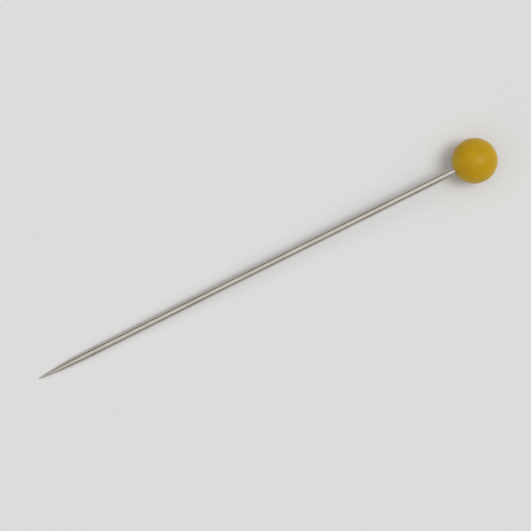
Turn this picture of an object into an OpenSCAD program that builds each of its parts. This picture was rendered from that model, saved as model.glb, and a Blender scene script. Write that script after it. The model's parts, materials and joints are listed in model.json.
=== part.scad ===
// A straight pin for quilting: a plated steel wire with a ground point, and a plastic ball
// moulded onto its blunt end. Lengths are in millimetres and angles in degrees.
// The pin lies as it comes to rest on a flat surface, which it touches under the ball and
// under the belly of its point, so its axis is tilted a little. X runs along the pin with
// the head at +X, Z is up, and the origin is on the surface below the pin's middle.

/* [Pin] */
// Length over all, from the tip of the point to the crown of the ball
overall_length = 45; // [35:0.5:60]

/* [Wire] */
// Diameter of the wire
wire_d = 0.65; // [0.5:0.01:0.85]
// Length of the ground point, from its tip to the full wire
point_length = 5; // [3:0.1:10]
// Radius of the rounded tip
tip_r = 0.03; // [0.02:0.01:0.1]

/* [Ball head] */
// Diameter of the ball
head_d = 4; // [3:0.1:6]
// Depth of the wire's blunt end below the crown of the ball
wire_cover = 0.5; // [0.3:0.05:1.2]

/* [Grip rings on the wire inside the ball] */
// Number of rings rolled into the wire, which key the moulded ball to it
grip_rings = 6; // [3:1:12]
// Depth of the groove between two rings
grip_depth = 0.05; // [0.02:0.01:0.08]
// Plain wire between the underside of the ball and the first groove
grip_inset = 0.15; // [0.05:0.05:0.5]
// Plain wire between the last groove and the blunt end
grip_end_land = 0.3; // [0.1:0.05:0.5]

/* [Gate mark in the crown] */
// Diameter of the shallow dish that the mould's gate leaves
dish_d = 0.9; // [0.6:0.05:1.4]
// Depth of the dish below its rim
dish_depth = 0.07; // [0.03:0.01:0.12]
// Diameter of the hole that the wire's stop leaves, down to the blunt end
stop_hole_d = 0.45; // [0.3:0.01:0.6]
// Width of the bevel round the mouth of this hole
hole_bevel = 0.05; // [0.02:0.01:0.1]

/* [Hidden] */

// Flats round a full turn
$fn = 96;
// Straight steps that follow the arc of the point, and the arc of its tip
point_steps = 24;
tip_steps = 6;
// Length by which one cut runs into the next, so that no film is left between them
cut_overlap = 0.1;

wire_r = wire_d / 2;
head_r = head_d / 2;
dish_r = dish_d / 2;
stop_hole_r = stop_hole_d / 2;

// Heights along the pin while it stands on its tip
ball_z = overall_length - head_r;
underside_z = ball_z - sqrt(pow(head_r, 2) - pow(wire_r, 2));
blunt_end_z = overall_length - wire_cover;
grip_top_z = blunt_end_z - grip_end_land;
grip_pitch = (grip_top_z - grip_inset - underside_z) / grip_rings;

// The point is an arc of radius point_arc_r that runs into the wire without a corner, and
// into the round tip likewise. Its centre is level with the start of the full wire, on the
// far side of the pin's axis.
point_arc_r = (pow(point_length - tip_r, 2) + pow(wire_r, 2) - pow(tip_r, 2)) / (2 * (wire_r - tip_r));
point_centre_x = wire_r - point_arc_r;
point_arc_angle = asin((point_length - tip_r) / (point_arc_r - tip_r));

// The dish is cut by a large ball whose surface passes through the dish's rim
dish_arc_r = (pow(dish_r, 2) + pow(dish_depth, 2)) / (2 * dish_depth);
dish_rim_z = ball_z + sqrt(pow(head_r, 2) - pow(dish_r, 2));
dish_centre_z = dish_rim_z - dish_depth + dish_arc_r;
hole_mouth_r = stop_hole_r + hole_bevel;
hole_mouth_z = dish_centre_z - sqrt(pow(dish_arc_r, 2) - pow(hole_mouth_r, 2));

// Tilt at which the surface touches the ball and the arc of the point. A point so slender
// that its arc stays clear of the surface lets the pin down onto its round tip instead.
centres_along = ball_z - point_length;
centres_across = point_arc_r - wire_r;
centres_apart = norm([centres_along, centres_across]);
tilt_on_arc = atan2(centres_across, centres_along) - asin((point_arc_r - head_r) / centres_apart);
tilt_on_tip = asin((head_r - tip_r) / (ball_z - tip_r));
rest_tilt = tilt_on_arc < point_arc_angle ? tilt_on_arc : tilt_on_tip;

// Outline of one side of the grip rings, crest to groove to crest, downwards
function grip_outline() = [
    for (i = [0 : 2 * grip_rings])
        [wire_r - grip_depth * (i % 2), grip_top_z - grip_pitch * i / 2]
];

// Outline of one side of the point, from the full wire down to the tip
function point_outline() = [
    for (i = [0 : point_steps])
        let (angle = point_arc_angle * i / point_steps)
        [point_centre_x + point_arc_r * cos(angle), point_length - point_arc_r * sin(angle)]
];

// Outline of one side of the round tip, from the point's arc down to the axis
function tip_outline() = [
    for (i = [1 : tip_steps])
        let (angle = point_arc_angle + (90 - point_arc_angle) * i / tip_steps)
        [tip_r * cos(angle), tip_r * (1 - sin(angle))]
];

// Lays down what is modelled standing on its tip, with the ball on the surface
module at_rest() {
    translate([-overall_length / 2 * cos(rest_tilt), 0, head_r - ball_z * sin(rest_tilt)])
        rotate([0, 90 - rest_tilt, 0])
            children();
}

// The wire, one solid from its ground point to the blunt end inside the ball
module wire() {
    blunt_end = [[0, blunt_end_z], [wire_r, blunt_end_z]];
    rotate_extrude()
        polygon(concat(blunt_end, grip_outline(), point_outline(), tip_outline()));
}

// Space cut from the crown: the gate's dish, and the hole of the wire's stop with its
// bevel, whose cone runs on above the dish
module gate_mark() {
    translate([0, 0, dish_centre_z])
        sphere(r = dish_arc_r);
    translate([0, 0, blunt_end_z - cut_overlap])
        cylinder(r = stop_hole_r, h = wire_cover + cut_overlap);
    translate([0, 0, hole_mouth_z - hole_bevel])
        cylinder(r1 = stop_hole_r, r2 = hole_mouth_r + hole_bevel, h = 2 * hole_bevel);
}

module shank() {
    color("silver")
        at_rest()
            wire();
}

// The ball fits round the wire without a gap, as it was moulded onto it
module head() {
    color("goldenrod")
        at_rest()
            difference() {
                translate([0, 0, ball_z])
                    sphere(r = head_r);
                wire();
                gate_mark();
            }
}

shank();
head();
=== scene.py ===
import json
import math

import bpy
from mathutils import Matrix, Vector, noise


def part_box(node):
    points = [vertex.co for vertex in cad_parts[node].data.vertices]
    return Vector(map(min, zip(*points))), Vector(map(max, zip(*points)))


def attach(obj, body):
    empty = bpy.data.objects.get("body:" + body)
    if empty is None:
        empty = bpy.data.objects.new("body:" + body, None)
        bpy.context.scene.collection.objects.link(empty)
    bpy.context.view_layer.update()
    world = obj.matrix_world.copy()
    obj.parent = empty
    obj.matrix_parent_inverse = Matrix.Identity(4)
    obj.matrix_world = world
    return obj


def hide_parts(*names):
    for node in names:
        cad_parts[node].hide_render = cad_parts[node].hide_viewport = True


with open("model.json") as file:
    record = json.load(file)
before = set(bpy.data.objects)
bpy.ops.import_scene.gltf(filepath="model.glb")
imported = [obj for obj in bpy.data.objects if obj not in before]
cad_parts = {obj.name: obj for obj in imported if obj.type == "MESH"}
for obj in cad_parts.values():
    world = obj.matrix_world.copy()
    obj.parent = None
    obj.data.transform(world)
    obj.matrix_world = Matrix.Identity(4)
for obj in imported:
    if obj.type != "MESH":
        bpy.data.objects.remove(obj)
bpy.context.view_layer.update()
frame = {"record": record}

# A straight pin with a ball head, which lies on a pale surface. Lengths are in metres, so
# sizes known in millimetres are written as a number times MM. A distance along the pin from
# its tip is called s, or has a name that ends in _s.
MM = 0.001

# The pin's sizes and its place, from the frame
shank_mount = next(m for m in frame["record"]["mounts"] if m["name"] == "shank")
wire_r = shank_mount["dims"]["r_mm"] * MM
free_wire = shank_mount["dims"]["length_mm"] * MM
wire_middle = Vector(shank_mount["pos_m"])
along = -Vector(shank_mount["axis"]).normalized()
shank_low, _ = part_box("shank")
head_low, head_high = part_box("head")
ball_r = (head_high.z - head_low.z) / 2
tip = wire_middle + along * (shank_low.x - wire_middle.x) / along.x
underside_s = (wire_middle - tip).length + free_wire / 2
point_length = underside_s - free_wire
ball_s = underside_s + math.sqrt(ball_r**2 - wire_r**2)
overall_length = ball_s + ball_r

# Sizes that the frame doesn't give, as in the part's construction
TIP_R = 0.03 * MM
WIRE_COVER = 0.5 * MM
GRIP_RINGS = 6
GRIP_DEPTH = 0.05 * MM
GRIP_INSET = 0.15 * MM
GRIP_END_LAND = 0.3 * MM
DISH_R = 0.45 * MM
DISH_DEPTH = 0.07 * MM
STOP_HOLE_R = 0.225 * MM
blunt_s = overall_length - WIRE_COVER

# Small roundings that moulding leaves on the ball's edges
DISH_RIM_ROUND = 0.06 * MM
HOLE_MOUTH_ROUND = 0.06 * MM
SOCKET_LIP_ROUND = 0.03 * MM

# How far the ball's surface dips below a true ball, as plastic shrinks while it cools, how
# far apart the dips are, and how near to the true ball a point of this surface lies
BALL_SINK = 0.012 * MM
SINK_SPACING = 1.6 * MM
SURFACE_DEPTH = 0.01 * MM

# Parts of a full turn, steps on the arcs of the outlines, and the length of a step on the
# straight wire
SEGMENTS = 144
TIP_STEPS = 6
POINT_STEPS = 64
BALL_STEPS = 96
DISH_STEPS = 10
ROUNDING_STEPS = 8
STRAIGHT_STEP = 0.5 * MM

# A point of an outline nearer than this to the axis is on it
ON_AXIS = 1e-9
# Edges sharper than this stay sharp
SHARP_ANGLE = math.radians(50)

# How steeply the pin rises to the upper right in the photograph, and the camera. The picture
# is framed closer than the photograph, so that the pin fills it.
PIN_RISE = math.radians(26.6)
VIEW_WIDTH = 46.5 * MM
LENS_MM = 100
SENSOR_MM = 36
NEAREST_SEEN = 1 * MM


# Outlines are lists of (distance along the pin from its tip, distance from its axis)


def arc(centre, radius, start, end, steps):
    """Points on an arc between two angles, in radians from the pin's direction."""
    angles = [start + (end - start) * i / steps for i in range(steps + 1)]
    return [(centre[0] + radius * math.cos(a), centre[1] + radius * math.sin(a)) for a in angles]


def direction(start, end):
    """Angle of the line from one point to another."""
    return math.atan2(end[1] - start[1], end[0] - start[0])


def touching_circle(ball_centre, ball_radius, dish_centre, dish_radius, radius):
    """Centre of the circle inside the plastic that touches the ball's surface and the dish's."""
    from_ball, from_dish = ball_radius - radius, dish_radius + radius
    apart = dish_centre - ball_centre
    s = ball_centre + (from_ball**2 - from_dish**2 + apart**2) / (2 * apart)
    return s, math.sqrt(from_ball**2 - (s - ball_centre) ** 2)


def grip_outline():
    """Crests and grooves of the rings that key the ball to the wire, from the underside up."""
    bottom = underside_s + GRIP_INSET
    top = blunt_s - GRIP_END_LAND
    steps = 2 * GRIP_RINGS
    places = [bottom + (top - bottom) * i / steps for i in range(steps + 1)]
    return [(s, wire_r - GRIP_DEPTH * (i % 2)) for i, s in enumerate(places)]


def shank_outline():
    """The wire from its tip to its blunt end: round tip, curved point, straight wire, rings.

    A step ends at the underside of the ball, so that the grip rings inside don't bend the
    shading of the wire outside.
    """
    arc_r = ((point_length - TIP_R) ** 2 + wire_r**2 - TIP_R**2) / (2 * (wire_r - TIP_R))
    arc_centre = (point_length, wire_r - arc_r)
    turn = math.pi / 2 + math.asin((point_length - TIP_R) / (arc_r - TIP_R))
    points = arc((TIP_R, 0), TIP_R, math.pi, turn, TIP_STEPS)
    points += arc(arc_centre, arc_r, turn, math.pi / 2, POINT_STEPS)[1:]
    steps = round(free_wire / STRAIGHT_STEP)
    points += [(point_length + free_wire * i / steps, wire_r) for i in range(1, steps + 1)]
    return points + grip_outline() + [(blunt_s, wire_r), (blunt_s, 0)]


def head_outline():
    """The ball from its socket's mouth round to the crown, and back down the hole and socket."""
    dish_arc_r = (DISH_R**2 + DISH_DEPTH**2) / (2 * DISH_DEPTH)
    dish_s = ball_s + math.sqrt(ball_r**2 - DISH_R**2) - DISH_DEPTH + dish_arc_r

    lip_r = wire_r + SOCKET_LIP_ROUND
    lip = (ball_s - math.sqrt((ball_r - SOCKET_LIP_ROUND) ** 2 - lip_r**2), lip_r)
    rim = touching_circle(ball_s, ball_r, dish_s, dish_arc_r, DISH_RIM_ROUND)
    mouth_r = STOP_HOLE_R + HOLE_MOUTH_ROUND
    mouth = (dish_s - math.sqrt((dish_arc_r + HOLE_MOUTH_ROUND) ** 2 - mouth_r**2), mouth_r)

    lip_turn = direction((ball_s, 0), lip)
    rim_turn = direction((ball_s, 0), rim)
    dish_turn = direction((dish_s, 0), rim)
    mouth_turn = direction((dish_s, 0), mouth)
    points = arc(lip, SOCKET_LIP_ROUND, 1.5 * math.pi, lip_turn, ROUNDING_STEPS)
    points += arc((ball_s, 0), ball_r, lip_turn, rim_turn, BALL_STEPS)[1:]
    points += arc(rim, DISH_RIM_ROUND, rim_turn, dish_turn - math.pi, ROUNDING_STEPS)[1:]
    points += arc((dish_s, 0), dish_arc_r, dish_turn, mouth_turn, DISH_STEPS)[1:]
    points += arc(mouth, HOLE_MOUTH_ROUND, mouth_turn - math.pi, -math.pi / 2, ROUNDING_STEPS)[1:]
    points += [(blunt_s, STOP_HOLE_R), (blunt_s, wire_r)]
    return points + grip_outline()[::-1]


# Meshes


def new_object(name, verts, faces):
    """A mesh object in the scene, made of corners and faces."""
    mesh = bpy.data.meshes.new(name)
    mesh.from_pydata(verts, [], faces)
    mesh.validate()
    made = bpy.data.objects.new(name, mesh)
    bpy.context.scene.collection.objects.link(made)
    return made


def pin_frame():
    """Matrix from the pin's own frame, X along it from its tip, to the model's frame."""
    across = Vector((0, 1, 0))
    over = along.cross(across)
    return Matrix.Translation(tip) @ Matrix((along, across, over)).transposed().to_4x4()


def rings(outline):
    """Corners of an outline turned about the pin's axis, and each ring's corners by number."""
    place = pin_frame()
    turns = [2 * math.pi * i / SEGMENTS for i in range(SEGMENTS)]
    verts, rows = [], []
    for s, r in outline:
        first = len(verts)
        if r < ON_AXIS:
            verts.append(place @ Vector((s, 0, 0)))
            rows.append([first] * SEGMENTS)
        else:
            verts += [place @ Vector((s, r * math.cos(a), r * math.sin(a))) for a in turns]
            rows.append(range(first, first + SEGMENTS))
    return verts, rows


def turned(name, outline, closed):
    """A piece turned about the pin's axis. A closed outline is the section of a ring."""
    verts, rows = rings(outline)
    pairs = list(zip(rows, rows[1:]))
    if closed:
        pairs.append((rows[-1], rows[0]))
    faces = []
    for low, high in pairs:
        for i in range(SEGMENTS):
            j = (i + 1) % SEGMENTS
            corners = [low[i], low[j], high[j], high[i]]
            # A face that reaches the axis has one corner there twice, and keeps it once
            faces.append(list(dict.fromkeys(corners)))
    return new_object(name, verts, faces)


def smooth(piece):
    """Shades a piece smooth, apart from its sharp edges."""
    mesh = piece.data
    mesh.shade_smooth()
    mesh.set_sharp_from_angle(angle=SHARP_ANGLE)


def sink_ball(piece):
    """Lets the outer surface of the ball dip unevenly, by at most BALL_SINK."""
    centre = tip + along * ball_s
    for vertex in piece.data.vertices:
        out = vertex.co - centre
        if out.length < ball_r - SURFACE_DEPTH:
            continue
        dip = 0.5 + 0.5 * noise.noise(out / SINK_SPACING)
        vertex.co = centre + out * (1 - BALL_SINK * dip / ball_r)


# Nodes of the materials

# A Mix node's sockets for its two values and for its result, by the kind of value
MIX_SOCKETS = {"FLOAT": (2, 3, 0), "RGBA": (6, 7, 2)}


def new_material(name):
    """A material with its node tree and its shader."""
    material = bpy.data.materials.new(name)
    material.use_nodes = True
    tree = material.node_tree
    return material, tree, tree.nodes["Principled BSDF"]


def pin_coordinates(tree):
    """Coordinates in the pin's own frame, in millimetres: X along it from its tip."""
    place = tree.nodes.new("ShaderNodeMapping")
    place.vector_type = "TEXTURE"
    place.inputs["Location"].default_value = tip
    place.inputs["Rotation"].default_value = pin_frame().to_euler()
    place.inputs["Scale"].default_value = (MM, MM, MM)
    coordinates = tree.nodes.new("ShaderNodeTexCoord")
    tree.links.new(coordinates.outputs["Object"], place.inputs["Vector"])
    return place.outputs["Vector"]


def separated(tree, vector):
    """The three numbers of a vector."""
    node = tree.nodes.new("ShaderNodeSeparateXYZ")
    tree.links.new(vector, node.inputs["Vector"])
    return node.outputs["X"], node.outputs["Y"], node.outputs["Z"]


def stretched(tree, vector, stretch):
    """A vector with each of its numbers multiplied."""
    node = tree.nodes.new("ShaderNodeVectorMath")
    node.operation = "MULTIPLY"
    node.inputs[1].default_value = stretch
    tree.links.new(vector, node.inputs[0])
    return node.outputs["Vector"]


def noise_of(tree, vector, per_mm=1.0, detail=2.0, roughness=0.5):
    """Noise with about per_mm spots in each millimetre, from 0 to 1."""
    node = tree.nodes.new("ShaderNodeTexNoise")
    node.inputs["Scale"].default_value = per_mm
    node.inputs["Detail"].default_value = detail
    node.inputs["Roughness"].default_value = roughness
    tree.links.new(vector, node.inputs["Vector"])
    return node.outputs["Fac"]


def ranged(tree, value, span, result):
    """Takes a value from one span of numbers to another, eased and held at both ends."""
    node = tree.nodes.new("ShaderNodeMapRange")
    node.interpolation_type = "SMOOTHSTEP"
    names = ("From Min", "From Max", "To Min", "To Max")
    for name, number in zip(names, (*span, *result)):
        node.inputs[name].default_value = number
    tree.links.new(value, node.inputs["Value"])
    return node.outputs["Result"]


def worked(tree, operation, one, other):
    """A Math node's result. Each value is a socket or a number."""
    node = tree.nodes.new("ShaderNodeMath")
    node.operation = operation
    for value, socket in zip((one, other), node.inputs):
        if isinstance(value, (int, float)):
            socket.default_value = value
        else:
            tree.links.new(value, socket)
    return node.outputs["Value"]


def mixed(tree, factor, one, other, kind="RGBA"):
    """One value at factor 0 and the other at 1. A colour is a socket or a tuple."""
    node = tree.nodes.new("ShaderNodeMix")
    node.data_type = kind
    first, second, result = MIX_SOCKETS[kind]
    tree.links.new(factor, node.inputs["Factor"])
    for value, socket in ((one, node.inputs[first]), (other, node.inputs[second])):
        if isinstance(value, tuple):
            socket.default_value = (*value, 1)
        else:
            tree.links.new(value, socket)
    return node.outputs[result]


def bumped(tree, height, depth):
    """A normal that follows a height from 0 to 1, which stands for this depth."""
    node = tree.nodes.new("ShaderNodeBump")
    node.inputs["Strength"].default_value = 1
    node.inputs["Distance"].default_value = depth
    tree.links.new(height, node.inputs["Height"])
    return node.outputs["Normal"]


# Materials. Colours are red, green and blue from 0 to 1. The spots of a noise are counted in
# each millimetre, along the pin and in both directions across it.

# The wire's plating, lighter and darker in soft clouds, and its dull cut end, whose near-black
# colour is painted shade at the bottom of the stop hole
PLATING_LIGHT = (0.67, 0.622, 0.56)
PLATING_DARK = (0.59, 0.542, 0.48)
PLATING_SPOTS = (0.55, 1.4, 1.4)
PLATING_ROUGHNESS = (0.06, 0.13)
# Edge tint of the metal, set darker than the metal's own, which paints shade on the wire's outer
# edges
EDGE_SHADE_TINT = (0.3, 0.28, 0.25)
# Near-black colour of the cut end: painted shade at the bottom of the stop hole
CUT_END_PAINTED_SHADE = (0.07, 0.06, 0.05)
CUT_ROUGHNESS = 0.3

# The lines that drawing leaves along the wire and grinding leaves round its point
DRAWN_SPOTS = (0.12, 22, 22)
GROUND_SPOTS = (34, 4, 4)
STREAKS = (0.38, 0.34, 0.29)
STREAK_SHARE = 0.3
LINE_ROUGHNESS = 0.07
LINE_DEPTH = 0.0012 * MM

# The ground point is duller than the wire. Its border lies between these distances from the
# tip, in millimetres, less an uneven shift of up to BORDER_SHIFT_MM.
POINT_ROUGHNESS = 0.08
POINT_BORDER_MM = (4.6, 6.2)
BORDER_SHIFT_MM = 1.2
BORDER_SPOTS = (0.6, 3, 3)

# The ball's plastic, with clouds and grains of pigment, an uneven skin, and light that
# spreads below it, red the farthest
PLASTIC_DARK = (0.455, 0.273, 0.004)
PLASTIC_LIGHT = (0.51, 0.316, 0.006)
PLASTIC_GRAIN = (0.41, 0.222, 0.003)
GRAIN_SHARE = 0.25
CLOUDS_PER_MM = 0.8
GRAINS_PER_MM = 9.0
SKIN_PER_MM = 14.0
SKIN_DEPTH = 0.0022 * MM
PLASTIC_ROUGHNESS = (0.36, 0.47)
PLASTIC_IOR = 1.45
PLASTIC_GLOSS = 0.18
SPREAD_WEIGHT = 0.7
SPREAD_RADIUS = (1.0, 0.35, 0.05)
SPREAD_SCALE = 0.8 * MM

# The floor's matt paper
PAPER_DARK = (0.65, 0.647, 0.64)
PAPER_LIGHT = (0.68, 0.677, 0.67)
PAPER_STRETCH = (1, 1.3, 1)
PAPER_PER_MM = 1.5
PAPER_ROUGHNESS = 0.9


def point_share(tree, place, s):
    """1 on the ground point and 0 on the drawn wire, with an uneven border between them."""
    uneven = noise_of(tree, stretched(tree, place, BORDER_SPOTS))
    shifted = worked(tree, "ADD", s, worked(tree, "MULTIPLY", uneven, BORDER_SHIFT_MM))
    return ranged(tree, shifted, POINT_BORDER_MM, (1, 0))


def work_lines(tree, place, on_point):
    """Fine lines along the drawn wire, and round the ground point."""
    drawn = noise_of(tree, stretched(tree, place, DRAWN_SPOTS), detail=3)
    ground = noise_of(tree, stretched(tree, place, GROUND_SPOTS), detail=3)
    return mixed(tree, on_point, drawn, ground, "FLOAT")


def wire_roughness(tree, clouds, lines, on_point, cut):
    """Roughness from the clouds and the lines, and more of it on the point and the cut end."""
    from_clouds = ranged(tree, clouds, (0.25, 0.75), PLATING_ROUGHNESS)
    from_lines = ranged(tree, lines, (0.3, 0.7), (0, LINE_ROUGHNESS))
    dull = worked(tree, "ADD", from_clouds, from_lines)
    dull = worked(tree, "ADD", dull, worked(tree, "MULTIPLY", on_point, POINT_ROUGHNESS))
    return worked(tree, "ADD", dull, worked(tree, "MULTIPLY", cut, CUT_ROUGHNESS))


def plated_steel():
    """Plated wire with a ground point, and a cut end painted near-black as shade in the stop hole.
    """
    material, tree, shader = new_material("plated_wire")
    place = pin_coordinates(tree)
    s, _, _ = separated(tree, place)
    on_point = point_share(tree, place, s)
    lines = work_lines(tree, place, on_point)
    clouds = noise_of(tree, stretched(tree, place, PLATING_SPOTS), detail=4, roughness=0.6)
    # The cut end's dullness and its painted shade set in just before the blunt end
    blunt_mm = blunt_s / MM
    cut = ranged(tree, s, (blunt_mm - 0.03, blunt_mm - 0.01), (0, 1))

    plating = mixed(tree, ranged(tree, clouds, (0.3, 0.7), (0, 1)), PLATING_LIGHT, PLATING_DARK)
    streak_share = ranged(tree, lines, (0.5, 0.72), (0, STREAK_SHARE))
    streaked = mixed(tree, streak_share, plating, STREAKS)
    # The cut end is painted near-black: painted shade at the bottom of the stop hole
    tree.links.new(mixed(tree, cut, streaked, CUT_END_PAINTED_SHADE), shader.inputs["Base Color"])

    roughness = wire_roughness(tree, clouds, lines, on_point, cut)
    tree.links.new(roughness, shader.inputs["Roughness"])
    tree.links.new(bumped(tree, lines, LINE_DEPTH), shader.inputs["Normal"])
    shader.inputs["Metallic"].default_value = 1
    # A dark edge tint, which paints shade on the wire's outer edges
    shader.inputs["Specular Tint"].default_value = (*EDGE_SHADE_TINT, 1)
    return material


def yellow_plastic():
    """Moulded golden-yellow plastic with a satin skin."""
    material, tree, shader = new_material("yellow_plastic")
    place = pin_coordinates(tree)
    clouds = noise_of(tree, place, CLOUDS_PER_MM, 3, 0.55)
    grains = noise_of(tree, place, GRAINS_PER_MM)
    clouded = mixed(tree, ranged(tree, clouds, (0.3, 0.7), (0, 1)), PLASTIC_DARK, PLASTIC_LIGHT)
    grain_share = ranged(tree, grains, (0.35, 0.75), (0, GRAIN_SHARE))
    tree.links.new(mixed(tree, grain_share, clouded, PLASTIC_GRAIN), shader.inputs["Base Color"])

    skin = noise_of(tree, place, SKIN_PER_MM, 3)
    tree.links.new(ranged(tree, skin, (0.25, 0.75), PLASTIC_ROUGHNESS), shader.inputs["Roughness"])
    tree.links.new(bumped(tree, skin, SKIN_DEPTH), shader.inputs["Normal"])
    shader.inputs["Subsurface Weight"].default_value = SPREAD_WEIGHT
    shader.inputs["Subsurface Radius"].default_value = SPREAD_RADIUS
    shader.inputs["Subsurface Scale"].default_value = SPREAD_SCALE
    shader.inputs["IOR"].default_value = PLASTIC_IOR
    shader.inputs["Specular IOR Level"].default_value = PLASTIC_GLOSS
    return material


def floor_paper():
    """A plain pale matt surface, slightly uneven in colour."""
    material, tree, shader = new_material("floor_paper")
    place = stretched(tree, pin_coordinates(tree), PAPER_STRETCH)
    fibre = noise_of(tree, place, PAPER_PER_MM, 4)
    tree.links.new(mixed(tree, fibre, PAPER_DARK, PAPER_LIGHT), shader.inputs["Base Color"])
    shader.inputs["Roughness"].default_value = PAPER_ROUGHNESS
    shader.inputs["Specular IOR Level"].default_value = 0
    return material


# Pieces


def add_shank():
    """The wire, in place of the construction's."""
    piece = turned("plated_shank", shank_outline(), closed=False)
    smooth(piece)
    piece.data.materials.append(plated_steel())
    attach(piece, "root")
    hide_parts("shank")


def add_head():
    """The ball, in place of the construction's."""
    piece = turned("ball_head", head_outline(), closed=True)
    sink_ball(piece)
    smooth(piece)
    piece.data.materials.append(yellow_plastic())
    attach(piece, "root")
    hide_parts("head")


# Stage, lights and camera

FLOOR_SIZE = 20.0
FLOOR_DROP = 0.01 * MM

# The key light: its direction in the picture, its height, how wide it looks, and the share
# of the light on a level surface that comes from it. It stands on the head's side, where the
# ground point doesn't mirror it up to the camera.
KEY_TURN = math.radians(5)
KEY_HEIGHT = math.radians(66)
KEY_WIDTH = math.radians(28)
KEY_SHARE = 0.42

# Brightness of the studio by degrees above the horizon, where the horizon matches the lit
# floor. Dark walls stand along the pin's sides, which gives the wire its dark lines, and pale
# walls stand beyond its ends.
SIDES = (
    (0, 0.714), (7.8, 0.704), (11.5, 0.12), (14, 0.03),
    (33, 0.03), (41, 0.72), (50, 0.84), (90, 0.87),
)
ENDS = ((0, 0.714), (9, 0.714), (16, 0.7), (38, 0.66), (50, 0.82), (90, 0.87))
# The side walls turn into the end walls while the square of the cosine to the pin's
# direction, seen from above, goes through this span
CORNER_SPAN = (0.25, 0.75)


def add_floor():
    """The surface that the pin lies on, a hair below it."""
    half = FLOOR_SIZE / 2
    corners = [(x * half, y * half, -FLOOR_DROP) for x, y in ((-1, -1), (1, -1), (1, 1), (-1, 1))]
    floor = new_object("floor", corners, [(0, 1, 2, 3)])
    floor.data.materials.append(floor_paper())


def brightness_ramp(tree, height, stops):
    """Brightness by height above the horizon, from stops of degrees and brightness."""
    ramp = tree.nodes.new("ShaderNodeValToRGB")
    ramp.color_ramp.interpolation = "EASE"
    elements = ramp.color_ramp.elements
    elements.remove(elements[1])
    for i, (degrees, level) in enumerate(stops):
        position = math.sin(math.radians(degrees))
        stop = elements[0] if i == 0 else elements.new(position)
        stop.position = position
        stop.color = (level, level, level, 1)
    tree.links.new(height, ramp.inputs["Fac"])
    return ramp.outputs["Color"]


def add_studio():
    """Soft light from above, walls round about, and a pale horizon that the floor runs into."""
    world = bpy.data.worlds.new("studio")
    bpy.context.scene.world = world
    world.use_nodes = True
    tree = world.node_tree
    coordinates = tree.nodes.new("ShaderNodeTexCoord")
    x, y, height = separated(tree, coordinates.outputs["Generated"])
    x_squared = worked(tree, "MULTIPLY", x, x)
    flat_squared = worked(tree, "ADD", x_squared, worked(tree, "MULTIPLY", y, y))
    to_end = ranged(tree, worked(tree, "DIVIDE", x_squared, flat_squared), CORNER_SPAN, (0, 1))
    sides = brightness_ramp(tree, height, SIDES)
    ends = brightness_ramp(tree, height, ENDS)
    tree.links.new(mixed(tree, to_end, sides, ends), tree.nodes["Background"].inputs["Color"])


def add_key_light():
    """A soft far light, from the right of the picture."""
    light = bpy.data.lights.new("key", "SUN")
    light.angle = KEY_WIDTH
    light.energy = KEY_SHARE * math.pi / math.sin(KEY_HEIGHT)
    lamp = bpy.data.objects.new("key", light)
    bpy.context.scene.collection.objects.link(lamp)
    turn = KEY_TURN - PIN_RISE
    flat = math.cos(KEY_HEIGHT)
    towards = Vector((flat * math.cos(turn), flat * math.sin(turn), math.sin(KEY_HEIGHT)))
    lamp.rotation_euler = towards.to_track_quat("Z", "Y").to_euler()


def add_camera():
    """Looks straight down on the lying pin, turned so that the pin rises to the upper right."""
    camera = bpy.data.objects.new("camera", bpy.data.cameras.new("camera"))
    bpy.context.scene.collection.objects.link(camera)
    camera.data.lens = LENS_MM
    camera.data.sensor_width = SENSOR_MM
    camera.data.clip_start = NEAREST_SEEN
    camera.location = (0, 0, ball_r + VIEW_WIDTH * LENS_MM / SENSOR_MM)
    camera.rotation_euler = (0, 0, -PIN_RISE)
    bpy.context.scene.camera = camera


add_camera()
add_studio()
add_key_light()
add_floor()
add_shank()
add_head()

bpy.context.scene.view_settings.view_transform = "Standard"
